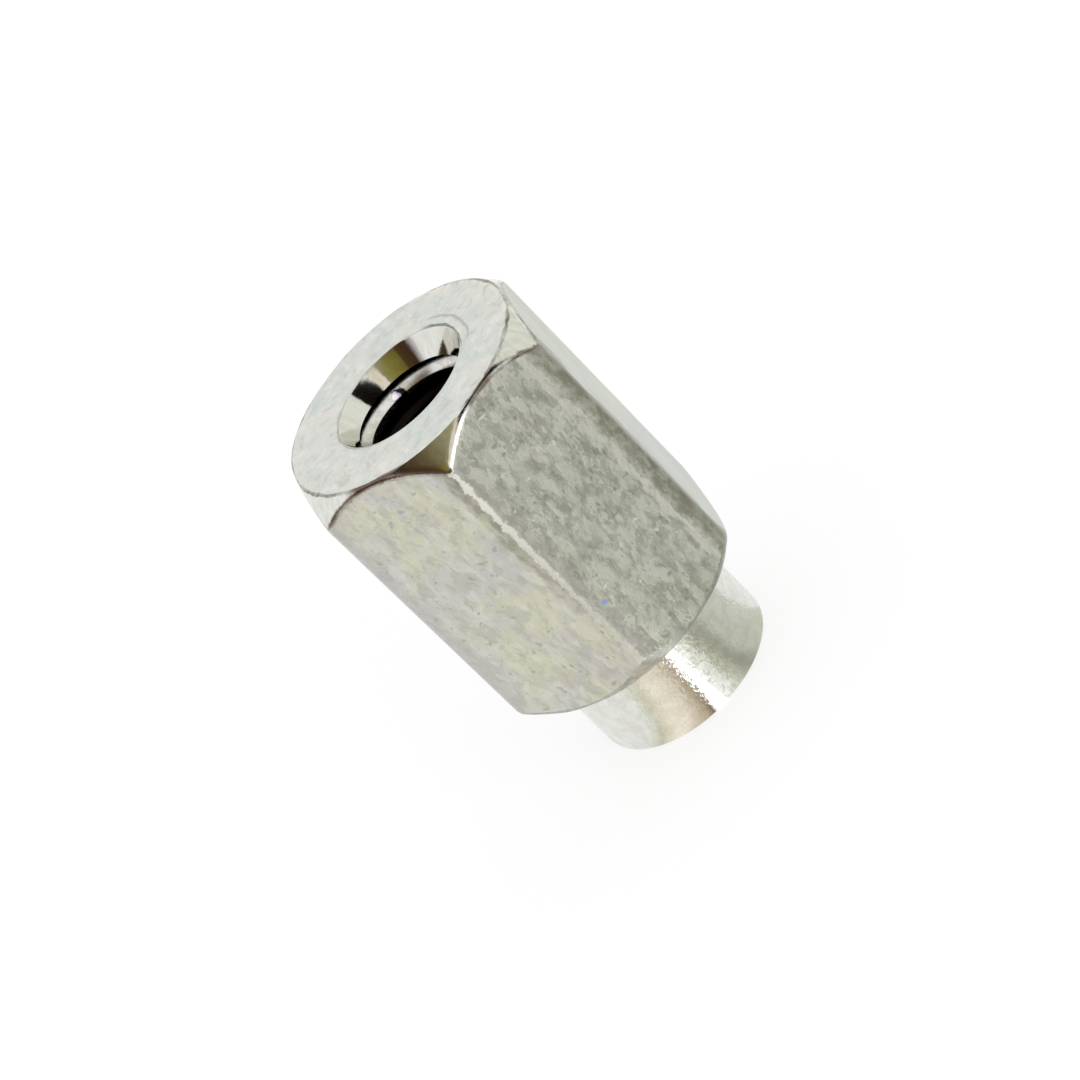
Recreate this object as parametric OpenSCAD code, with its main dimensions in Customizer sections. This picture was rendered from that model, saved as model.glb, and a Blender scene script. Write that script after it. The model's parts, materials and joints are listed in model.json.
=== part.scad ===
// Hex standoff: a short threaded spacer turned from hexagonal bar.
// A round spigot at its foot locates it in a board, and a threaded bore runs right through.
// Millimetres. +Z runs up the bore's axis, and the origin is the centre of the spigot's end face.

/* [Hex body] */
// Width across the flats of the hexagonal bar
across_flats = 5.5; // [4.5:0.1:8]
// Length of the hexagonal body, from the board shoulder to the top face
body_len = 7; // [3:0.1:30]
// Radius along the six long corners of the bar
corner_r = 0.2; // [0.05:0.05:0.5]

/* [End chamfers] */
// Distance that the flat end faces stop short of the flats
face_inset = 0.02; // [0.01:0.01:0.1]
// Slope of the chamfer round the top face, in degrees from that face
top_chamfer_angle = 52; // [20:1:65]
// Slope of the chamfer round the board shoulder, in degrees from that face
shoulder_chamfer_angle = 48; // [20:1:65]

/* [Spigot] */
// Diameter of the round spigot
spigot_d = 4.15; // [3.7:0.05:4.4]
// Length of the spigot below the board shoulder
spigot_len = 2.2; // [1:0.1:6]
// Radius round the edge of the spigot's end
spigot_edge_r = 0.12; // [0.04:0.02:0.2]

/* [Threaded bore] */
// Nominal diameter of the thread
thread_d = 3; // [2:0.1:3]
// Pitch of the thread
thread_pitch = 0.5; // [0.25:0.05:0.6]
// Distance that each countersunk mouth is wider than the thread, on the diameter
mouth_over = 0.06; // [0:0.02:0.2]
// Included angle of the countersunk mouths, in degrees
mouth_angle = 56; // [50:1:120]

/* [Top face] */
// Width of the shallow dished ring round the top mouth
dish_w = 0.22; // [0.1:0.02:0.4]
// Depth of that ring where it meets the mouth
dish_depth = 0.03; // [0.01:0.01:0.06]

/* [Hidden] */
$fn = 96;

// The bar
bar_sides = 6;
flat_r = across_flats / 2;
corner_centre_r = (flat_r - corner_r) / cos(180 / bar_sides);
flat_w = corner_centre_r;
bar_r = corner_centre_r + corner_r;

// Heights
shoulder_z = spigot_len;
top_z = spigot_len + body_len;

// The cone of each chamfer starts at the end face's rim and runs out past the bar's corners
face_r = flat_r - face_inset;
chamfer_r = bar_r + 0.5;
top_chamfer_h = (chamfer_r - face_r) * tan(top_chamfer_angle);
shoulder_chamfer_h = (chamfer_r - face_r) * tan(shoulder_chamfer_angle);

// An ISO internal thread is bored 1.0825 pitches under its nominal diameter
minor_d_pitches = 1.0825;
bore_d = thread_d - minor_d_pitches * thread_pitch;
mouth_d = thread_d + mouth_over;
mouth_h = (mouth_d - bore_d) / 2 / tan(mouth_angle / 2);

// The top mouth's rim lies at the bottom of the dish, whose slope is carried inwards to the bore
mouth_rim_z = top_z - dish_depth;
dish_d = mouth_d + 2 * dish_w;
dish_h = dish_depth * (dish_d - bore_d) / 2 / dish_w;

// Cutters run this far past the faces they cut
past = 0.5;

// Cross-section of the bar: three slabs from flat to opposite flat, and a round at each corner
module bar_section() {
    for (i = [0 : bar_sides / 2 - 1])
        rotate(i * 360 / bar_sides)
            square([flat_w, across_flats], center = true);
    for (i = [0 : bar_sides - 1])
        rotate(i * 360 / bar_sides)
            translate([corner_centre_r, 0])
                circle(r = corner_r);
}

// Solid of revolution that the bar is turned down to: flat faces with a cone behind each
module turned_envelope() {
    rotate_extrude()
        polygon([
            [0, shoulder_z],
            [face_r, shoulder_z],
            [chamfer_r, shoulder_z + shoulder_chamfer_h],
            [chamfer_r, top_z - top_chamfer_h],
            [face_r, top_z],
            [0, top_z]
        ]);
}

module hex_body() {
    intersection() {
        translate([0, 0, shoulder_z])
            linear_extrude(body_len)
                bar_section();
        turned_envelope();
    }
}

// Round spigot, turned from the same bar, with a rounded edge at its end
module spigot() {
    rotate_extrude() {
        square([spigot_d / 2 - spigot_edge_r, shoulder_z]);
        translate([0, spigot_edge_r])
            square([spigot_d / 2, shoulder_z - spigot_edge_r]);
        translate([spigot_d / 2 - spigot_edge_r, spigot_edge_r])
            circle(r = spigot_edge_r);
    }
}

// Cone that opens upwards from d_low to d_high over h, and carries on at that slope for `extra`
module opening_cone(h, d_low, d_high, extra) {
    slope = (d_high - d_low) / h;
    cylinder(h = h + extra, d1 = d_low, d2 = d_high + slope * extra);
}

// Hole drilled to the thread's minor diameter, with a countersunk mouth at each end
module bore() {
    translate([0, 0, -past])
        cylinder(d = bore_d, h = top_z + 2 * past);
    translate([0, 0, mouth_rim_z - mouth_h])
        opening_cone(mouth_h, bore_d, mouth_d, past);
    mirror([0, 0, 1])
        translate([0, 0, -mouth_h])
            opening_cone(mouth_h, bore_d, mouth_d, past);
}

// Shallow dish that the facing tool leaves round the top mouth
module dish() {
    translate([0, 0, top_z - dish_h])
        opening_cone(dish_h, bore_d, dish_d, past);
}

module standoff() {
    color([0.76, 0.75, 0.70])
        difference() {
            union() {
                hex_body();
                spigot();
            }
            bore();
            dish();
        }
}

standoff();
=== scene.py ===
import json
from math import atan2, cos, degrees, pi, radians, sin, sqrt, tan

import bpy
from mathutils import Euler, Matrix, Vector


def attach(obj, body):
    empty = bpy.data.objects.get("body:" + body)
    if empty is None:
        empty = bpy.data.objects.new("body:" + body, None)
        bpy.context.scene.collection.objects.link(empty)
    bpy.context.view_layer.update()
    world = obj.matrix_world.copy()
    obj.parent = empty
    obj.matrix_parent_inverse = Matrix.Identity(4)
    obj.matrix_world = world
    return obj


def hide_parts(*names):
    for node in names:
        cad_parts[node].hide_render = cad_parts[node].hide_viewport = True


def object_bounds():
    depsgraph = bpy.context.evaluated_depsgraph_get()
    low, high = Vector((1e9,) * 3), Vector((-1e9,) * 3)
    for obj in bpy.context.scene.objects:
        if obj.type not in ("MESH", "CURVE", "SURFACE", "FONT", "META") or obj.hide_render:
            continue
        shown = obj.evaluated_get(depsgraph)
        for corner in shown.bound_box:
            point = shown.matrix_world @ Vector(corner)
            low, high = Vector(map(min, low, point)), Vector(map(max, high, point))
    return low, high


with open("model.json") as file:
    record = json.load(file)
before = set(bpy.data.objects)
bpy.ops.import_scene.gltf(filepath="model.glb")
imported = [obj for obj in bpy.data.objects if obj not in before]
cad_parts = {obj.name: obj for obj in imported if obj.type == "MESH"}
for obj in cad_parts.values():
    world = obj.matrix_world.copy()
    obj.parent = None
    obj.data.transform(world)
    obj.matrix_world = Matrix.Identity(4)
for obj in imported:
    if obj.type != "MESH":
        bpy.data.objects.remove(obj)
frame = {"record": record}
cad_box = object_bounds()
scene = bpy.context.scene
scene.view_settings.view_transform = "Standard"

# ---------------------------------------------------------------- camera
# A long lens close to the part, which looks down into the bore from just beside one corner of
# the hexagon. It is rolled about its own axis, so that the part leans to the upper left.
MM = 0.001
CAMERA_AZIMUTH = radians(-111.38)
CAMERA_HEIGHT = radians(28.64)
CAMERA_ROLL = radians(45.26)
CAMERA_DISTANCE = 76.32 * MM
CAMERA_AIM = Vector((-0.173, 0.068, 4.548)) * MM
CAMERA_LENS = 127.17

camera_data = bpy.data.cameras.new("camera")
camera_data.sensor_width = 36
camera_data.lens = CAMERA_LENS
camera_data.clip_start = 1 * MM
camera_data.clip_end = 20
camera = bpy.data.objects.new("camera", camera_data)
scene.collection.objects.link(camera)
towards_camera = Vector((
    cos(CAMERA_HEIGHT) * cos(CAMERA_AZIMUTH),
    cos(CAMERA_HEIGHT) * sin(CAMERA_AZIMUTH),
    sin(CAMERA_HEIGHT),
))
camera.location = CAMERA_AIM + towards_camera * CAMERA_DISTANCE
camera.rotation_mode = "QUATERNION"
upright = towards_camera.to_track_quat("Z", "Y")
camera.rotation_quaternion = upright @ Euler((0, 0, -CAMERA_ROLL)).to_quaternion()
scene.camera = camera


# ---------------------------------------------------------------- floor
# A plain white sheet, which the part stands on. It is white to the eye and in the metal, but still
# takes the part's shadow, and under the part its glow is left out, a painted shade where the bore looks
# down at it.
FLOOR_SIZE = 4
FLOOR_GLOW = 0.7
FLOOR_WHITE = 1.06
SHADE_R = 1.9


def new_material(name):
    """An empty node material, with its tree and its output node."""
    material = bpy.data.materials.new(name)
    material.use_nodes = True
    material.node_tree.nodes.clear()
    output = material.node_tree.nodes.new("ShaderNodeOutputMaterial")
    return material, material.node_tree, output


floor_material, tree, output = new_material("white_floor")
coordinates = tree.nodes.new("ShaderNodeTexCoord")
distance = tree.nodes.new("ShaderNodeVectorMath")
distance.operation = "LENGTH"
tree.links.new(coordinates.outputs["Object"], distance.inputs[0])
# No glow within SHADE_R of the axis: a painted shade under the part.
clear_of_part = tree.nodes.new("ShaderNodeMath")
clear_of_part.operation = "GREATER_THAN"
clear_of_part.inputs[1].default_value = SHADE_R * MM
tree.links.new(distance.outputs["Value"], clear_of_part.inputs[0])
light_path = tree.nodes.new("ShaderNodeLightPath")
seen = None
for ray in ("Is Camera Ray", "Is Glossy Ray", "Is Transmission Ray"):
    if seen is None:
        seen = light_path.outputs[ray]
        continue
    either = tree.nodes.new("ShaderNodeMath")
    either.operation = "MAXIMUM"
    tree.links.new(seen, either.inputs[0])
    tree.links.new(light_path.outputs[ray], either.inputs[1])
    seen = either.outputs["Value"]
glow_share = tree.nodes.new("ShaderNodeMath")
glow_share.operation = "MULTIPLY"
tree.links.new(seen, glow_share.inputs[0])
tree.links.new(clear_of_part.outputs["Value"], glow_share.inputs[1])
glow_amount = tree.nodes.new("ShaderNodeMath")
glow_amount.operation = "MULTIPLY"
glow_amount.inputs[1].default_value = FLOOR_GLOW
tree.links.new(glow_share.outputs["Value"], glow_amount.inputs[0])
diffuse = tree.nodes.new("ShaderNodeBsdfDiffuse")
diffuse.inputs["Color"].default_value = (0.9, 0.9, 0.9, 1)
glow = tree.nodes.new("ShaderNodeEmission")
glow.inputs["Color"].default_value = (1, 1, 1, 1)
glow.inputs["Strength"].default_value = FLOOR_WHITE
mixed = tree.nodes.new("ShaderNodeMixShader")
tree.links.new(glow_amount.outputs["Value"], mixed.inputs["Fac"])
tree.links.new(diffuse.outputs["BSDF"], mixed.inputs[1])
tree.links.new(glow.outputs["Emission"], mixed.inputs[2])
tree.links.new(mixed.outputs["Shader"], output.inputs["Surface"])

bpy.ops.object.select_all(action="DESELECT")
bpy.ops.mesh.primitive_plane_add(size=FLOOR_SIZE)
floor = bpy.context.object
floor.name = "floor"
floor.data.materials.append(floor_material)

# ---------------------------------------------------------------- light
# An even white room, and one soft lamp above the camera's right shoulder, which the metal doesn't
# mirror.
ROOM_BRIGHTNESS = 0.97
LAMP_SIZE = 35 * MM
LAMP_POWER = 0.012
LAMP_DISTANCE = 100 * MM
world = bpy.data.worlds.new("studio")
scene.world = world
world.use_nodes = True
world.node_tree.nodes["Background"].inputs["Color"].default_value = (1, 1, 1, 1)
world.node_tree.nodes["Background"].inputs["Strength"].default_value = ROOM_BRIGHTNESS


def from_camera(turn, height, distance):
    """A place round the part: degrees to the camera's right, degrees up, and how far away."""
    azimuth = CAMERA_AZIMUTH + radians(turn)
    level = cos(radians(height)) * distance
    rise = sin(radians(height)) * distance
    return CAMERA_AIM + Vector((level * cos(azimuth), level * sin(azimuth), rise))


lamp_data = bpy.data.lights.new("soft_lamp", "AREA")
lamp_data.shape = "DISK"
lamp_data.size = LAMP_SIZE
lamp_data.energy = LAMP_POWER
lamp = bpy.data.objects.new("soft_lamp", lamp_data)
scene.collection.objects.link(lamp)
lamp.location = from_camera(18, 35, LAMP_DISTANCE)
lamp.visible_glossy = False
lamp.rotation_mode = "QUATERNION"
lamp.rotation_quaternion = (lamp.location - CAMERA_AIM).to_track_quat("Z", "Y")

# ---------------------------------------------------------------- reflection cards
# Cards round the part, which only the metal sees: dark ones give its turned faces their depth,
# and bright ones their glints. Angles are in degrees, to the camera's right and up.
CARD_DISTANCE = 150 * MM
BACKING_DISTANCE = 180 * MM


def card_material(name, colour, strength, right_colour):
    """A glowing card, which fades from one colour on its left to another on its right."""
    material, tree, output = new_material(name)
    emission = tree.nodes.new("ShaderNodeEmission")
    emission.inputs["Color"].default_value = (*colour, 1)
    emission.inputs["Strength"].default_value = strength
    if right_colour:
        coordinates = tree.nodes.new("ShaderNodeTexCoord")
        across_card = tree.nodes.new("ShaderNodeSeparateXYZ")
        fade = tree.nodes.new("ShaderNodeMix")
        fade.data_type = "RGBA"
        fade.inputs[6].default_value = (*colour, 1)
        fade.inputs[7].default_value = (*right_colour, 1)
        tree.links.new(coordinates.outputs["UV"], across_card.inputs[0])
        tree.links.new(across_card.outputs["X"], fade.inputs[0])
        tree.links.new(fade.outputs[2], emission.inputs["Color"])
    tree.links.new(emission.outputs["Emission"], output.inputs["Surface"])
    return material


def stage_card(card, name, colour, strength, right_colour):
    """Gives a card its glow, and hides it from everything but the metal's own reflections."""
    card.name = name
    card.data.materials.append(card_material(name, colour, strength, right_colour))
    card.visible_camera = False
    card.visible_diffuse = False
    card.visible_shadow = False
    card.visible_transmission = False


def upright_card(
        name, left, right, bottom, top, colour, strength=1.0, right_colour=None, distance=CARD_DISTANCE):
    """A card which fills the given part of the view from the standoff."""
    turn, height = (left + right) / 2, (bottom + top) / 2
    place = from_camera(turn, height, distance)
    bpy.ops.mesh.primitive_plane_add(size=1)
    card = bpy.context.object
    width = 2 * distance * tan(radians(right - left) / 2) * cos(radians(height))
    tall = 2 * distance * tan(radians(top - bottom) / 2)
    card.scale = (width, tall, 1)
    card.rotation_mode = "QUATERNION"
    card.rotation_quaternion = (place - CAMERA_AIM).to_track_quat("Z", "Y")
    card.location = place
    stage_card(card, name, colour, strength, right_colour)


def floor_card(name, left, right, near, far, colour, strength=1.0, right_colour=None):
    """A wedge which lies just over the floor, between two distances from the part in millimetres."""
    bpy.ops.mesh.primitive_plane_add(size=1)
    card = bpy.context.object
    for vertex in card.data.vertices:
        azimuth = CAMERA_AZIMUTH + radians(left if vertex.co.x < 0 else right)
        reach = near if vertex.co.y < 0 else far
        vertex.co = Vector((reach * cos(azimuth), reach * sin(azimuth), FLOOR_CARD_Z)) * MM
    stage_card(card, name, colour, strength, right_colour)


# The chamfer at the near corner looks at the high cards and the backing, and the countersink at those
# below them.
upright_card("high_brown_card", -66, -36, 38, 62, (0.03, 0.014, 0.006), 1, (0.10, 0.065, 0.03))
upright_card("high_umber_card", -37, -16, 36, 62, (0.10, 0.065, 0.03), 1, (0.24, 0.20, 0.11))
upright_card("high_olive_card", -17, 21, 36, 62, (0.24, 0.20, 0.11), 1, (0.46, 0.45, 0.28))
upright_card("backing_card", -56, 20, 32, 50, (0.05, 0.03, 0.015), 1, (0.34, 0.31, 0.18), BACKING_DISTANCE)
upright_card("brown_edge_card", -70, -58, 15, 32, (0.80, 0.78, 0.80), 1, (0.05, 0.022, 0.012))
upright_card("brown_card", -59, -37, 15, 38, (0.05, 0.022, 0.012), 1, (0.085, 0.05, 0.02))
upright_card("olive_card", -39, -1, 15, 38, (0.15, 0.125, 0.022), 1, (0.30, 0.26, 0.07))
upright_card("cream_card", 6, 23, 19, 38, (1, 0.9, 0.78), 0.87)
upright_card("glint_card", 8, 32, -5, 19, (1, 1, 1), 2.2)
upright_card("black_card", 23, 61, 14, 36, (0.003, 0.002, 0.001))
upright_card("side_card", 60, 136, 1, 41, (0.86, 0.87, 0.79))

# Low ones darken the thin edges where the flats meet the chamfer.
upright_card("left_low_card", -100, -60, -16, 8, (0.30, 0.22, 0.17))
upright_card("middle_low_card", -62, 6, -20, 17, (0.10, 0.065, 0.04))
upright_card("right_low_card", 36, 110, -14, 2, (0.20, 0.15, 0.14))

# The spigot looks at the floor close by, and the flats and their corners at the floor farther out.
FLOOR_CARD_Z = 0.01
SPLIT_R = 6.6
FAR_R = 170
floor_card("olive_floor", -52, -42, SHADE_R, SPLIT_R, (0.90, 0.90, 0.83), 1, (0.70, 0.68, 0.56))
floor_card("peach_floor", -42, -31, SHADE_R, SPLIT_R, (0.88, 0.82, 0.69), 1, (1.10, 1.02, 0.91))
floor_card("tan_floor", -31, -10, SHADE_R, SPLIT_R, (1.10, 1.02, 0.91), 1, (0.62, 0.52, 0.40))
floor_card("brown_floor", -10, -4, SHADE_R, SPLIT_R, (0.60, 0.50, 0.38), 1, (0.24, 0.17, 0.12))
floor_card("bright_floor", -3, 6, SHADE_R, SPLIT_R, (1, 1, 1), 2.2)
floor_card("sparkling_floor", 6, 22, SHADE_R, SPLIT_R, (0.93, 0.95, 0.94), 1.3, (0.48, 0.48, 0.41))
floor_card("dark_floor", 22, 31, SHADE_R, SPLIT_R, (0.62, 0.62, 0.53), 1, (0.40, 0.405, 0.34))
floor_card("fading_floor", 31, 43, SHADE_R, SPLIT_R, (0.40, 0.405, 0.34), 1, (0.62, 0.63, 0.56))
floor_card("dull_floor", 43, 80, SHADE_R, SPLIT_R, (0.62, 0.63, 0.56), 1, (0.76, 0.78, 0.72))
floor_card("corner_floor", -60, 14, SPLIT_R, FAR_R, (0.90, 0.88, 0.82))
floor_card("far_cream_floor", 14, 37, SPLIT_R, FAR_R, (0.68, 0.69, 0.61))
floor_card("far_grey_floor", 37, 60, SPLIT_R, FAR_R, (0.58, 0.59, 0.56))
floor_card("far_dark_floor", 60, 104, SPLIT_R, FAR_R, (0.45, 0.43, 0.40), 1, (0.75, 0.75, 0.72))

# ---------------------------------------------------------------- standoff
# One piece of hexagonal brass bar, turned at both ends, drilled, countersunk and tapped right
# through, then nickel plated. Lengths in this section are in millimetres, also in the finishes.
mounts = {mount["name"]: mount for mount in frame["record"]["mounts"]}
low, high = cad_box
TOP_Z = high[2] / MM
FLAT_R = high[1] / MM
SHOULDER_Z = mounts["board_shoulder"]["pos_m"][2] / MM
SPIGOT_R = mounts["board_spigot"]["dims"]["r_mm"]
BORE_R = mounts["thread"]["dims"]["r_mm"]
half_bore = mounts["thread"]["dims"]["length_mm"] / 2
bore_middle = mounts["thread"]["pos_m"][2] / MM
FACE_INSET = 0.02
FACE_R = FLAT_R - FACE_INSET
BLANK_R = 3.25
MOUTH_R = 1.53
MOUTH_ANGLE = 56
DISH_WIDTH = 0.22
DISH_R = MOUTH_R + DISH_WIDTH
DISH_DEPTH = 0.03
TOP_CHAMFER_ANGLE = 52
SHOULDER_CHAMFER_ANGLE = 48
SPIGOT_EDGE = 0.12
cone_slope = tan(radians(MOUTH_ANGLE / 2))
top_chamfer = (BLANK_R - FACE_R) * tan(radians(TOP_CHAMFER_ANGLE))
shoulder_chamfer = (BLANK_R - FACE_R) * tan(radians(SHOULDER_CHAMFER_ANGLE))

# Each corner of the turned outline: radius, height, how far it is rounded over, and the number
# of rings between it and the next corner.
outline = [
    (BORE_R, bore_middle - half_bore, 0, 1),
    (BORE_R, bore_middle + half_bore, 0, 1),
    (MOUTH_R, TOP_Z - DISH_DEPTH, 0.04, 1),
    (DISH_R, TOP_Z, 0.4, 1),
    (FACE_R, TOP_Z, 0.09, 26),
    (BLANK_R, TOP_Z - top_chamfer, 0, 8),
    (BLANK_R, SHOULDER_Z + shoulder_chamfer, 0, 20),
    (FACE_R, SHOULDER_Z, 0.08, 1),
    (SPIGOT_R, SHOULDER_Z, 0.05, 3),
    (SPIGOT_R, 0, SPIGOT_EDGE, 1),
    (MOUTH_R, 0, 0.04, 1),
]
ROUND_STEPS = 5


def rounded(corners):
    """Walks once round a closed outline, with each corner rounded over by an arc."""
    points = [Vector((r, z)) for r, z, _, _ in corners]
    walk = []
    for i, (_, _, radius, rings) in enumerate(corners):
        here = points[i]
        back = (points[i - 1] - here).normalized()
        on = (points[(i + 1) % len(points)] - here).normalized()
        if radius:
            half = back.angle(on) / 2
            centre = here + (back + on).normalized() * radius / sin(half)
            start = here + back * radius / tan(half) - centre
            end = here + on * radius / tan(half) - centre
            for step in range(ROUND_STEPS + 1):
                spoke = start.slerp(end, step / ROUND_STEPS).normalized()
                walk.append(centre + spoke * radius)
        else:
            walk.append(here)
        walk.append(rings)
    path = []
    stops = walk + [walk[0]]
    for i, stop in enumerate(stops[:-1]):
        if isinstance(stop, int):
            start, end = stops[i - 1], stops[i + 1]
            path += [start.lerp(end, ring / stop) for ring in range(1, stop)]
        else:
            path.append(stop)
    return path


LATHE_STEPS = 480
MERGE_GAP = 0.0005
profile = rounded(outline)
bpy.ops.object.select_all(action="DESELECT")
bpy.ops.mesh.primitive_plane_add(size=1, location=(0, 0, 0))
standoff = bpy.context.object
standoff.name = "standoff_plated"
bpy.ops.object.mode_set(mode="EDIT")
bpy.ops.mesh.select_mode(type="VERT")
bpy.ops.mesh.select_all(action="SELECT")
bpy.ops.mesh.merge(type="CENTER")
bpy.ops.transform.translate(value=(profile[0].x, 0, profile[0].y))
for start, end in zip(profile, profile[1:] + profile[:1]):
    step = end - start
    bpy.ops.mesh.extrude_vertices_move(TRANSFORM_OT_translate={"value": (step.x, 0, step.y)})
bpy.ops.mesh.select_all(action="SELECT")
bpy.ops.mesh.remove_doubles(threshold=MERGE_GAP)
bpy.ops.mesh.spin(steps=LATHE_STEPS, angle=radians(360), center=(0, 0, 0), axis=(0, 0, 1))
bpy.ops.mesh.select_all(action="SELECT")
bpy.ops.mesh.remove_doubles(threshold=MERGE_GAP)
bpy.ops.mesh.normals_make_consistent(inside=False)
bpy.ops.object.mode_set(mode="OBJECT")

# The thread's groove is cut by a ridge of its own section, wound up the bore. The crest left over it is
# level with LIP_Z at LIP_TURN, in degrees from +X.
THREAD_R = 1.5
PITCH = 0.5
THREAD_STEPS = 120
GROOVE_TURNS = 19
RUN_OUT = 0.3
RUN_OUT_DEPTH = 0.4
GROOVE_TOP = 0.18
LIP_TURN = 68.6
LIP_Z = TOP_Z - 0.47
TAP_MERGE_GAP = 0.0001
tap_inner = BORE_R - 0.05
groove_section = [
    (BORE_R, GROOVE_TOP),
    (THREAD_R, 0.12),
    (THREAD_R, 0.08),
    (BORE_R + 0.13, 0),
    (BORE_R, -0.16),
    (tap_inner, -0.2),
    (tap_inner, 0.19),
]
groove_end = radians(300)
groove_end_z = LIP_Z - GROOVE_TOP + PITCH * (groove_end - radians(LIP_TURN)) / radians(360)
groove_start_z = groove_end_z - PITCH * GROOVE_TURNS
bpy.ops.object.select_all(action="DESELECT")
bpy.ops.mesh.primitive_circle_add(vertices=len(groove_section), radius=1, fill_type="NGON")
tap = bpy.context.object
tap.name = "tap"
for vertex, (r, z) in zip(tap.data.vertices, groove_section):
    vertex.co = Vector((r * cos(groove_end), r * sin(groove_end), groove_start_z + z))
screw = tap.modifiers.new("winding", "SCREW")
screw.axis = "Z"
screw.angle = radians(360)
screw.screw_offset = PITCH
screw.iterations = GROOVE_TURNS
screw.steps = THREAD_STEPS
screw.render_steps = THREAD_STEPS
bpy.ops.object.modifier_apply(modifier="winding")
bpy.ops.object.mode_set(mode="EDIT")
bpy.ops.mesh.select_all(action="SELECT")
bpy.ops.mesh.remove_doubles(threshold=TAP_MERGE_GAP)
bpy.ops.mesh.select_all(action="DESELECT")
bpy.ops.mesh.select_non_manifold()
bpy.ops.mesh.fill_holes(sides=0)
bpy.ops.mesh.select_all(action="SELECT")
bpy.ops.mesh.normals_make_consistent(inside=False)
bpy.ops.object.mode_set(mode="OBJECT")
# It runs out over the last third of a turn.
for vertex in tap.data.vertices:
    to_end = max(groove_end_z - vertex.co.z, 0)
    shrink = max(0, 1 - to_end / (RUN_OUT * PITCH)) * RUN_OUT_DEPTH
    r = vertex.co.xy.length
    share = (r - shrink) / r
    vertex.co.x *= share
    vertex.co.y *= share

bpy.ops.object.select_all(action="DESELECT")
bpy.context.view_layer.objects.active = standoff
standoff.select_set(True)
cut = standoff.modifiers.new("thread", "BOOLEAN")
cut.operation = "DIFFERENCE"
cut.object = tap
cut.solver = "EXACT"
bpy.ops.object.modifier_apply(modifier="thread")
bpy.data.objects.remove(tap)

# The bar's six flats take the outside in, with a small round at every edge.
CORNER_R = 0.2
EDGE_SOFTNESS = 0.13
OUTSIDE_R = FACE_R - 0.1
corner_centre = (FLAT_R - CORNER_R) / cos(radians(30))


def bar_radius(turn):
    """How far out the hexagonal bar reaches, in a direction given from +X."""
    lean = abs((degrees(turn) + 30) % 60 - 30)
    aside = corner_centre * sin(radians(lean))
    round_corner = corner_centre * cos(radians(lean)) + sqrt(max(CORNER_R ** 2 - aside ** 2, 0))
    flat = FLAT_R / cos(radians(30 - lean))
    return min(flat, round_corner) if aside < CORNER_R / 2 else flat


for vertex in standoff.data.vertices:
    turned_r = vertex.co.xy.length
    if turned_r > OUTSIDE_R:
        bar_r = bar_radius(atan2(vertex.co.y, vertex.co.x))
        nearness = max(EDGE_SOFTNESS - abs(turned_r - bar_r), 0) / EDGE_SOFTNESS
        r = min(turned_r, bar_r) - nearness ** 2 * EDGE_SOFTNESS / 4
        vertex.co.x *= r / turned_r
        vertex.co.y *= r / turned_r

# How far across its flat and how far in from it each point lies, in millimetres, for the marks that
# run along the bar and round its flats. Each pair of opposite flats has the skin that its own rolls
# gave it: one is cloudy, one is flecked and one is even.
attributes = standoff.data.attributes
for name in ("across", "inset", "flecked", "even"):
    attributes.new(name, "FLOAT", "CORNER")
across, inset = attributes["across"], attributes["inset"]
flecked, even = attributes["flecked"], attributes["even"]
for face in standoff.data.polygons:
    flat = degrees(atan2(face.center.y, face.center.x)) // 60
    for corner in face.loop_indices:
        place = standoff.data.vertices[standoff.data.loops[corner].vertex_index].co
        turn = (degrees(atan2(place.y, place.x)) - flat * 60 - 30 + 180) % 360 - 180
        across.data[corner].value = FLAT_R * tan(radians(max(-45, min(turn, 45))))
        inset.data[corner].value = FLAT_R - place.xy.length * cos(radians(turn))
        flecked.data[corner].value = flat % 3 == 1
        even.data[corner].value = flat % 3 == 2

# The lengths become metres here, and the shading follows the larger faces, sharp only at true edges.
SHARP_ANGLE = 24
LARGE_FACE_WEIGHT = 80
bpy.ops.object.select_all(action="DESELECT")
standoff.select_set(True)
standoff.scale = (MM, MM, MM)
bpy.ops.object.transform_apply(scale=True)
bpy.ops.object.shade_smooth_by_angle(angle=radians(SHARP_ANGLE))
weighted = standoff.modifiers.new("even_shading", "WEIGHTED_NORMAL")
weighted.keep_sharp = True
weighted.weight = LARGE_FACE_WEIGHT
bpy.ops.object.modifier_apply(modifier="even_shading")


# Nickel: dull and flecked where the drawn bar is left as it was, and brighter where a tool has cut it.
def in_millimetres(tree, scale=(1, 1, 1)):
    """Object coordinates in millimetres, stretched by scale."""
    coordinates = tree.nodes.new("ShaderNodeTexCoord")
    mapping = tree.nodes.new("ShaderNodeMapping")
    mapping.inputs["Scale"].default_value = [part / MM for part in scale]
    tree.links.new(coordinates.outputs["Object"], mapping.inputs["Vector"])
    return mapping.outputs["Vector"]


def noise(tree, vector, per_mm, detail=3, roughness=0.55, distortion=0.0):
    """Clouds, about so many to the millimetre."""
    node = tree.nodes.new("ShaderNodeTexNoise")
    node.inputs["Scale"].default_value = per_mm
    node.inputs["Detail"].default_value = detail
    node.inputs["Roughness"].default_value = roughness
    node.inputs["Distortion"].default_value = distortion
    tree.links.new(vector, node.inputs["Vector"])
    return node.outputs["Fac"]


def spread(tree, value, low, high, to_low=0.0, to_high=1.0):
    """Maps a stretch of a value on to another, and holds it at the ends."""
    node = tree.nodes.new("ShaderNodeMapRange")
    node.inputs["From Min"].default_value = low
    node.inputs["From Max"].default_value = high
    node.inputs["To Min"].default_value = to_low
    node.inputs["To Max"].default_value = to_high
    tree.links.new(value, node.inputs["Value"])
    return node.outputs["Result"]


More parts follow.
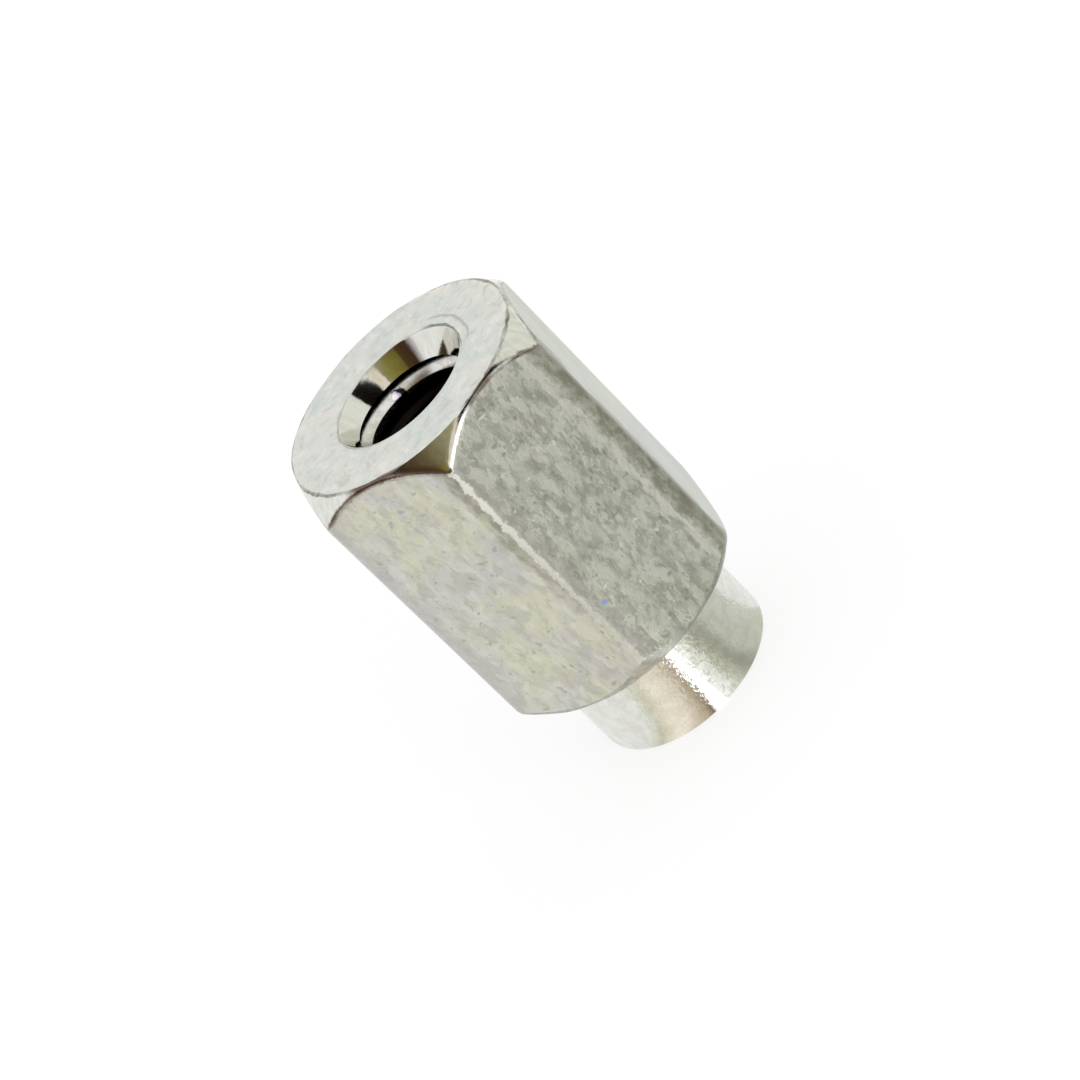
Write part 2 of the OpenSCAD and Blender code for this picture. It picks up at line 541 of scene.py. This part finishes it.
def blend(tree, share, first, second):
    """A colour between two, each given as a colour or as another node's output."""
    node = tree.nodes.new("ShaderNodeMix")
    node.data_type = "RGBA"
    tree.links.new(share, node.inputs[0])
    for socket, colour in ((node.inputs[6], first), (node.inputs[7], second)):
        if isinstance(colour, tuple):
            socket.default_value = (*colour, 1)
        else:
            tree.links.new(colour, socket)
    return node.outputs[2]


def add_bump(tree, principled, height, depth_mm):
    """Adds a relief this many millimetres deep, over any that the shader already has."""
    node = tree.nodes.new("ShaderNodeBump")
    node.inputs["Strength"].default_value = 1
    node.inputs["Distance"].default_value = depth_mm * MM
    tree.links.new(height, node.inputs["Height"])
    if principled.inputs["Normal"].links:
        tree.links.new(principled.inputs["Normal"].links[0].from_socket, node.inputs["Normal"])
    tree.links.new(node.outputs["Normal"], principled.inputs["Normal"])


def new_nickel(name, roughness):
    """A nickel finish still without its colour and relief, with its tree and its shader."""
    material, tree, output = new_material(name)
    principled = tree.nodes.new("ShaderNodeBsdfPrincipled")
    principled.inputs["Metallic"].default_value = 1
    principled.inputs["Roughness"].default_value = roughness
    tree.links.new(principled.outputs["BSDF"], output.inputs["Surface"])
    return material, tree, principled


def turned_distance(tree):
    """Distance out from the axis, in millimetres, for lines left by a tool on an end face."""
    flat = in_millimetres(tree, (1, 1, 0))
    node = tree.nodes.new("ShaderNodeVectorMath")
    node.operation = "LENGTH"
    tree.links.new(flat, node.inputs[0])
    return node.outputs["Value"]


def line_noise(tree, along, per_mm):
    """Noise which changes only with the one distance given."""
    node = tree.nodes.new("ShaderNodeTexNoise")
    node.noise_dimensions = "1D"
    node.inputs["Scale"].default_value = per_mm
    node.inputs["Detail"].default_value = 2
    tree.links.new(along, node.inputs["W"])
    return node.outputs["Fac"]


def height_up(tree):
    """Height over the spigot's end face, in millimetres."""
    node = tree.nodes.new("ShaderNodeSeparateXYZ")
    tree.links.new(in_millimetres(tree), node.inputs[0])
    return node.outputs["Z"]


def combine(tree, operation, first, second):
    """Arithmetic on two values, each a number or another node's output."""
    node = tree.nodes.new("ShaderNodeMath")
    node.operation = operation
    for socket, value in zip(node.inputs, (first, second)):
        if isinstance(value, (int, float)):
            socket.default_value = value
        else:
            tree.links.new(value, socket)
    return node.outputs["Value"]


def total(tree, first, second):
    return combine(tree, "ADD", first, second)


def product(tree, first, second):
    return combine(tree, "MULTIPLY", first, second)


def band(tree, value, centre, inner, outer, share=1.0):
    """One within `inner` of a centre, and fading to nothing at `outer`."""
    away = combine(tree, "ABSOLUTE", combine(tree, "SUBTRACT", value, centre), 0)
    return spread(tree, away, inner, outer, share, 0)


def gated(tree, mask, value, low, high):
    """A mask which holds only where a second value is high, so that a line is broken up."""
    return product(tree, mask, spread(tree, value, low, high))


def towards(tree, azimuth):
    """How far a point lies from the axis in one direction, in millimetres."""
    node = tree.nodes.new("ShaderNodeVectorMath")
    node.operation = "DOT_PRODUCT"
    node.inputs[1].default_value = (cos(azimuth), sin(azimuth), 0)
    tree.links.new(in_millimetres(tree), node.inputs[0])
    return node.outputs["Value"]


# The corner that takes the painted highlight.
HIGHLIT_CORNER = radians(-120)


def rim_stain(tree, mask):
    """The brown stain round the rims, which varies, and is missing beside the highlit corner."""
    patches = spread(tree, noise(tree, in_millimetres(tree), 1.6, 4, 0.6), 0.4, 0.56, 0.3, 0.95)
    return gated(tree, product(tree, mask, patches), towards(tree, HIGHLIT_CORNER), 2.58, 2.48)


def attribute(tree, name):
    """One of the values that the part carries at the corners of its faces."""
    node = tree.nodes.new("ShaderNodeAttribute")
    node.attribute_name = name
    return node.outputs["Fac"]


def distance_from(tree, place):
    """Distance from one place, in millimetres."""
    node = tree.nodes.new("ShaderNodeVectorMath")
    node.operation = "DISTANCE"
    node.inputs[1].default_value = place
    tree.links.new(in_millimetres(tree), node.inputs[0])
    return node.outputs["Value"]


def cells(tree, vector, per_mm):
    """Irregular patches, each with a value of its own, with soft ragged edges."""
    ragged = tree.nodes.new("ShaderNodeTexNoise")
    ragged.inputs["Scale"].default_value = per_mm * 2.2
    ragged.inputs["Detail"].default_value = 3
    tree.links.new(vector, ragged.inputs["Vector"])
    moved = tree.nodes.new("ShaderNodeVectorMath")
    moved.operation = "MULTIPLY_ADD"
    moved.inputs[1].default_value = (0.9 / per_mm,) * 3
    tree.links.new(ragged.outputs["Color"], moved.inputs[0])
    tree.links.new(vector, moved.inputs[2])
    node = tree.nodes.new("ShaderNodeTexVoronoi")
    node.feature = "SMOOTH_F1"
    node.inputs["Scale"].default_value = per_mm
    node.inputs["Smoothness"].default_value = 0.25
    tree.links.new(moved.outputs["Vector"], node.inputs["Vector"])
    value = tree.nodes.new("ShaderNodeSeparateColor")
    tree.links.new(node.outputs["Color"], value.inputs[0])
    return value.outputs[0]


# The drawn flats: one pair flecked and pitted grey, one with warm and cool clouds, and one nearly
# even. Every skin is drawn out along the bar, as the die left it.
half_flat = FLAT_R * tan(radians(30))
drawn, tree, principled = new_nickel("drawn_nickel", 0.42)
along_bar = in_millimetres(tree, (1, 1, 0.55))
everywhere = in_millimetres(tree)
side = attribute(tree, "across")
heavy = attribute(tree, "flecked")
calm = attribute(tree, "even")
marked = combine(tree, "SUBTRACT", 1, calm)

blotches = cells(tree, along_bar, 5.8)
specks = noise(tree, along_bar, 6.0, 5, 0.62, 0.4)
dents = noise(tree, along_bar, 2.9, 4, 0.6, 0.5)
grey = blend(tree, spread(tree, blotches, 0.2, 0.8), (0.55, 0.56, 0.505), (0.71, 0.72, 0.655))
grey = blend(tree, spread(tree, specks, 0.48, 0.38, 0, 0.7), grey, (0.40, 0.405, 0.35))
grey = blend(tree, spread(tree, dents, 0.45, 0.38, 0, 0.4), grey, (0.45, 0.45, 0.40))
grey = blend(tree, spread(tree, specks, 0.54, 0.62, 0, 0.6), grey, (0.77, 0.77, 0.71))
strokes = noise(tree, in_millimetres(tree, (1, 1, 0.7)), 2.6, 2, 0.5, 1.3)
scratches = gated(tree, band(tree, strokes, 0.5, 0.006, 0.016, 0.75), dents, 0.50, 0.56)
grey = blend(tree, scratches, grey, (0.80, 0.80, 0.74))
pits = noise(tree, everywhere, 5.2, 1, 0.5, 0.2)
grey = blend(tree, spread(tree, pits, 0.34, 0.26, 0, 0.6), grey, (0.31, 0.305, 0.265))
# Pale specks here and there: painted glints.
painted_glints = noise(tree, everywhere, 4.4, 1, 0.5, 0.3)
grey = blend(tree, spread(tree, painted_glints, 0.69, 0.76, 0, 0.9), grey, (0.90, 0.88, 0.84))

large_clouds = noise(tree, in_millimetres(tree, (1, 1, 0.8)), 0.9, 7, 0.72, 0.5)
patches = total(tree, large_clouds, product(tree, product(tree, side, side), -0.025))
cloudy = blend(tree, spread(tree, patches, 0.41, 0.53), (0.61, 0.60, 0.58), (0.645, 0.65, 0.52))
faint = cells(tree, along_bar, 4.6)
cloudy = blend(tree, spread(tree, faint, 0.4, 0, 0, 0.6), cloudy, (0.50, 0.495, 0.44))
cloudy = blend(tree, spread(tree, faint, 0.6, 1, 0, 0.55), cloudy, (0.71, 0.705, 0.64))
cloudy = blend(tree, spread(tree, specks, 0.46, 0.36, 0, 0.5), cloudy, (0.47, 0.46, 0.42))
cloudy = blend(tree, spread(tree, specks, 0.56, 0.64, 0, 0.5), cloudy, (0.75, 0.75, 0.69))
cloudy = blend(tree, spread(tree, pits, 0.33, 0.26, 0, 0.6), cloudy, (0.36, 0.355, 0.33))
plain = blend(tree, spread(tree, patches, 0.41, 0.55), (0.585, 0.61, 0.55), (0.635, 0.66, 0.595))
plain = blend(tree, spread(tree, specks, 0.46, 0.36, 0, 0.35), plain, (0.50, 0.515, 0.46))
tint = blend(tree, calm, blend(tree, heavy, cloudy, grey), plain)

# Along one side of a flat a dark band is painted shade, with a painted highlight streak beside it where
# it is flecked, and along the other side a pinkish painted shade. The painted shade runs on round the
# corner, on to the even flat.
wander = spread(tree, noise(tree, along_bar, 2.8, 6, 0.74), 0.3, 0.7, -0.11, 0.11)
place = total(tree, side, wander)
patchy = spread(tree, specks, 0.42, 0.56, 1, 0.55)
# A darker band near one edge: painted shade, on the cloudy flats mostly towards the top.
painted_edge_shade = product(tree, spread(tree, place, half_flat - 0.36, half_flat - 0.24, 0, 0.88), patchy)
upper = product(tree, spread(tree, height_up(tree), 4.0, 6.5, 0.1, 1), marked)
painted_edge_shade = product(tree, painted_edge_shade, combine(tree, "MAXIMUM", heavy, upper))
tint = blend(tree, painted_edge_shade, tint, (0.33, 0.325, 0.255))
# A pale streak beside that band: a painted highlight.
painted_edge_highlight = band(tree, place, half_flat - 0.48, 0.06, 0.10)
painted_edge_highlight = product(tree, product(tree, painted_edge_highlight, spread(tree, dents, 0.36, 0.48, 0.3, 1)), heavy)
tint = blend(tree, painted_edge_highlight, tint, (0.79, 0.79, 0.73))
# A pinkish band along the other edge: painted shade.
pinkish_painted_shade = product(tree, spread(tree, place, 0.42 - half_flat, 0.1 - half_flat, 0, 0.6), marked)
tint = blend(tree, pinkish_painted_shade, tint, (0.52, 0.50, 0.485))
# The same painted shade, carried round the corner on to the even flat.
ragged = spread(tree, noise(tree, along_bar, 2.2, 6, 0.74, 0.3), 0.44, 0.62, 0.04, -0.5)
painted_shade_round_corner = spread(tree, total(tree, side, ragged), 0.16 - half_flat, 0.06 - half_flat, 0, 0.8)
tint = blend(tree, product(tree, painted_shade_round_corner, calm), tint, (0.37, 0.37, 0.31))

# One corner is painted pale along its edge, a painted highlight, most of all near the top, and those
# across the bar less; there the metal is also rougher. The flats' top edges are stained brown here and
# there, and one flat carries a small blue speck.
grit = spread(tree, noise(tree, everywhere, 6, 4, 0.65), 0.3, 0.7, -0.06, 0.06)
edge_reach = total(tree, combine(tree, "ABSOLUTE", side, 0), grit)
near_corner = spread(tree, towards(tree, HIGHLIT_CORNER), 2.4, 2.8, 0.12, 1)
far_corners = spread(tree, towards(tree, HIGHLIT_CORNER + pi), 0.8, 1.4, 0, 0.45)
corners = combine(tree, "MAXIMUM", near_corner, far_corners)
# Pale along the highlit corner: a painted highlight. The same mask also makes it rougher.
highlit_edge = product(tree, spread(tree, edge_reach, half_flat - 0.09, half_flat - 0.05), corners)
painted_corner_highlight = product(tree, highlit_edge, spread(tree, height_up(tree), 4.2, 7.6, 0.42, 1))
tint = blend(tree, painted_corner_highlight, tint, (0.93, 0.94, 0.90))
stain = total(tree, height_up(tree), product(tree, wander, 0.6))
tint = blend(tree, spread(tree, stain, TOP_Z - 0.13, TOP_Z - 0.07, 0, 0.7), tint, (0.30, 0.24, 0.21))
folded_in = spread(tree, total(tree, attribute(tree, "inset"), product(tree, grit, 0.05)), 0.004, 0.011)
crease = product(tree, folded_in, spread(tree, height_up(tree), TOP_Z - 0.56, TOP_Z - 0.51))
tint = blend(tree, rim_stain(tree, crease), tint, (0.22, 0.18, 0.15))
speck = total(tree, distance_from(tree, (-1.255, -FLAT_R, 4.232)), product(tree, grit, 0.4))
tint = blend(tree, spread(tree, speck, 0.085, 0.055), tint, (0.42, 0.52, 0.86))
tree.links.new(tint, principled.inputs["Base Color"])
tree.links.new(spread(tree, highlit_edge, 0, 1, 0.42, 0.55), principled.inputs["Roughness"])
add_bump(tree, principled, product(tree, blotches, marked), 0.007)
add_bump(tree, principled, specks, 0.014)
add_bump(tree, principled, dents, 0.012)
add_bump(tree, principled, noise(tree, everywhere, 14, 3, 0.6), 0.005)

# The end faces: a fine turned finish, clouded and crazed by the plating. Grey lines round one side of the
# mouth and of the dish are painted shade, as is a lighter one round the far side of the mouth, and a warm
# line inside the rim is a painted highlight; the rim is itself stained.
turned, tree, principled = new_nickel("turned_nickel", 0.38)
everywhere = in_millimetres(tree)
clouds = noise(tree, everywhere, 1.5, 6, 0.65, 0.4)
tint = blend(tree, spread(tree, clouds, 0.40, 0.60), (0.665, 0.70, 0.665), (0.745, 0.74, 0.68))
fine = noise(tree, everywhere, 3.6, 4, 0.6, 0.5)
tint = blend(tree, spread(tree, fine, 0.46, 0.34, 0, 0.7), tint, (0.57, 0.58, 0.55))
tint = blend(tree, spread(tree, fine, 0.54, 0.66, 0, 0.7), tint, (0.82, 0.82, 0.79))
veins = band(tree, noise(tree, everywhere, 2.0, 3, 0.5, 0.9), 0.5, 0.002, 0.010, 0.3)
tint = blend(tree, veins, tint, (0.50, 0.50, 0.49))
from_axis = turned_distance(tree)
wander = spread(tree, noise(tree, everywhere, 3, 4, 0.6), 0.3, 0.7, -0.03, 0.03)
ring = total(tree, from_axis, wander)
one_side = towards(tree, radians(-13))
# Lines of painted shade at the dish's edge and the mouth's rim, on one side only.
painted_dish_shade = gated(tree, band(tree, ring, DISH_R + 0.02, 0.015, 0.045, 0.6), one_side, 1.42, 1.62)
tint = blend(tree, painted_dish_shade, tint, (0.38, 0.38, 0.37))
painted_mouth_shade = gated(tree, band(tree, ring, MOUTH_R + 0.02, 0.03, 0.045, 0.8), one_side, 1.22, 1.42)
tint = blend(tree, painted_mouth_shade, tint, (0.16, 0.155, 0.15))
far_painted_mouth_shade = gated(tree, band(tree, ring, MOUTH_R + 0.02, 0.02, 0.05, 0.6), one_side, -0.9, -1.2)
tint = blend(tree, far_painted_mouth_shade, tint, (0.36, 0.32, 0.28))
# A warm painted highlight just inside the rim, on one side.
painted_rim_highlight = gated(tree, band(tree, ring, FACE_R - 0.09, 0.02, 0.045, 0.75), one_side, 1.5, 1.9)
tint = blend(tree, gated(tree, painted_rim_highlight, fine, 0.44, 0.54), tint, (0.86, 0.82, 0.62))
rim = rim_stain(tree, spread(tree, ring, FACE_R - 0.045, FACE_R - 0.03))
tint = blend(tree, rim, tint, (0.26, 0.22, 0.19))
tree.links.new(tint, principled.inputs["Base Color"])
add_bump(tree, principled, line_noise(tree, from_axis, 14), 0.001)
add_bump(tree, principled, fine, 0.006)

# The chamfers: cut bright by a form tool, whose edge has left faint streaks. They are stained along
# the face and the flats, and most of all where one flat leaves them narrow.
chamfered, tree, principled = new_nickel("chamfered_nickel", 0.13)
everywhere = in_millimetres(tree)
streaks = noise(tree, in_millimetres(tree, (1, 1, 0.15)), 6, 4, 0.65, 0.2)
tint = blend(tree, spread(tree, streaks, 0.38, 0.60), (0.69, 0.685, 0.63), (0.79, 0.80, 0.76))
ragged = spread(tree, noise(tree, everywhere, 4, 4, 0.65), 0.3, 0.7, -0.02, 0.02)
rolled = total(tree, turned_distance(tree), ragged)
rim = rim_stain(tree, spread(tree, rolled, FACE_R + 0.035, FACE_R + 0.02))
tint = blend(tree, rim, tint, (0.15, 0.12, 0.10))
crease = spread(tree, total(tree, attribute(tree, "inset"), ragged), 0.052, 0.032)
tint = blend(tree, rim_stain(tree, crease), tint, (0.22, 0.18, 0.15))
narrow = band(tree, towards(tree, radians(-60)), 0.12, 0.45, 0.8, 0.85)
narrow = product(tree, narrow, spread(tree, rolled, FACE_R + 0.13, FACE_R + 0.09))
tint = blend(tree, narrow, tint, (0.17, 0.12, 0.095))
tree.links.new(tint, principled.inputs["Base Color"])
add_bump(tree, principled, line_noise(tree, height_up(tree), 18), 0.0004)
add_bump(tree, principled, noise(tree, everywhere, 5, 4, 0.6, 0.3), 0.002)

# The countersinks are cut brighter still.
countersunk, tree, principled = new_nickel("countersunk_nickel", 0.08)
streaks = noise(tree, in_millimetres(tree, (1, 1, 0.1)), 5, 4, 0.65, 0.2)
tint = blend(tree, spread(tree, streaks, 0.40, 0.60), (0.71, 0.70, 0.64), (0.78, 0.785, 0.745))
tree.links.new(tint, principled.inputs["Base Color"])
add_bump(tree, principled, streaks, 0.0015)
add_bump(tree, principled, noise(tree, in_millimetres(tree), 6, 4, 0.65, 0.3), 0.0012)

# The shoulder's own chamfer faces down: rough, and darkened as painted shade, for a face which looks down
# at the floor in the part's shadow.
shaded_shoulder, tree, principled = new_nickel("shoulder_nickel", 0.5)
mottle = noise(tree, in_millimetres(tree), 6, 4, 0.65, 0.3)
tint = blend(tree, spread(tree, mottle, 0.40, 0.60), (0.40, 0.405, 0.37), (0.54, 0.545, 0.51))
tree.links.new(tint, principled.inputs["Base Color"])
add_bump(tree, principled, mottle, 0.008)

# The spigot: ringed by the tool, mottled and finely grained in its relief, with dark grains painted only
# in the band that takes its glint, painted shade which breaks that glint up.
spigot_turned, tree, principled = new_nickel("spigot_nickel", 0.16)
everywhere = in_millimetres(tree)
mottle = noise(tree, everywhere, 3.5, 5, 0.65, 0.3)
tint = blend(tree, spread(tree, mottle, 0.42, 0.58), (0.70, 0.70, 0.64), (0.78, 0.785, 0.74))
# Dark grains in the glint's band only: painted shade.
glint_breaking_shade = spread(tree, noise(tree, everywhere, 11, 2, 0.6), 0.5, 0.4, 0, 0.6)
glint_breaking_shade = gated(tree, glint_breaking_shade, towards(tree, radians(-104)), 2.02, 2.06)
tint = blend(tree, glint_breaking_shade, tint, (0.47, 0.465, 0.39))
tree.links.new(tint, principled.inputs["Base Color"])
add_bump(tree, principled, line_noise(tree, height_up(tree), 12), 0.002)
add_bump(tree, principled, noise(tree, everywhere, 14, 1, 0.5), 0.009)

# The bore: bright for its first turn, and painted nearly black below it and in the root of the groove,
# painted shade for the deep bore. A small bright spot on the first crest is a painted glint, in violet
# and white, with a painted shade beside it.
# Where the painted glint sits on the first crest.
GLINT_TURN = LIP_TURN + 8.8
GLINT_R = 1.28
GLINT_Z = LIP_Z - 0.275
bore_metal, tree, principled = new_nickel("bore_nickel", 0.25)
clouds = noise(tree, in_millimetres(tree), 5, 4, 0.6, 0.3)
bright = blend(tree, spread(tree, clouds, 0.4, 0.6), (0.66, 0.62, 0.58), (0.78, 0.78, 0.75))
ragged = total(tree, height_up(tree), spread(tree, clouds, 0.3, 0.7, -0.02, 0.02))
grit = spread(tree, noise(tree, in_millimetres(tree), 8, 4, 0.7), 0.3, 0.7, -0.05, 0.05)
# Nearly black below the first turn and out in the groove's root: painted shade.
first_turn = spread(tree, ragged, LIP_Z - 0.45, LIP_Z - 0.36)
crest = spread(tree, total(tree, turned_distance(tree), product(tree, grit, 0.6)), 1.40, 1.37)
tint = blend(tree, product(tree, first_turn, crest), (0.008, 0.006, 0.005), bright)
# A dark spot of painted shade, then a violet and a white painted glint over it.
for lean, drop, reach, edge, colour in (
        (-3.5, 0.06, 0.19, 0.16, (0.02, 0.015, 0.018)),
        (0, 0, 0.11, 0.08, (0.76, 0.66, 0.92)),
        (1, 0, 0.065, 0.045, (1.0, 1.0, 1.0))):
    turn = radians(GLINT_TURN + lean)
    away = distance_from(tree, (GLINT_R * cos(turn), GLINT_R * sin(turn), GLINT_Z - drop))
    tint = blend(tree, spread(tree, total(tree, away, grit), reach, edge), tint, colour)
tree.links.new(tint, principled.inputs["Base Color"])

# Each face takes its finish from where it lies and how it leans.
MARGIN = 0.01
LEVEL = 0.9
SLOPING = 0.25
mouth_z = TOP_Z - DISH_DEPTH
spigot_edge_r = SPIGOT_R - SPIGOT_EDGE - MARGIN
finishes = [drawn, turned, chamfered, countersunk, shaded_shoulder, spigot_turned, bore_metal]
for finish in finishes:
    standoff.data.materials.append(finish)
for face in standoff.data.polygons:
    place = face.center / MM
    out = place.xy.length
    upwards = face.normal.z
    cone_r = MOUTH_R - min(abs(place.z), abs(mouth_z - place.z)) * cone_slope
    on_cone = abs(out - cone_r) < MARGIN and BORE_R + 0.003 < out < MOUTH_R - 2 * MARGIN
    in_bore = out < THREAD_R + MARGIN and 2 * MARGIN < place.z < mouth_z - 2 * MARGIN
    on_spigot = spigot_edge_r < out < SPIGOT_R + MARGIN and place.z < SHOULDER_Z - MARGIN
    if on_cone:
        finish = countersunk
    elif in_bore:
        finish = bore_metal
    elif on_spigot:
        finish = spigot_turned
    elif out < MOUTH_R:
        finish = countersunk
    elif abs(upwards) > LEVEL:
        finish = turned
    elif upwards > SLOPING:
        finish = chamfered
    elif upwards < -SLOPING:
        finish = shaded_shoulder
    else:
        finish = drawn
    face.material_index = finishes.index(finish)

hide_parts("standoff")
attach(standoff, "root")
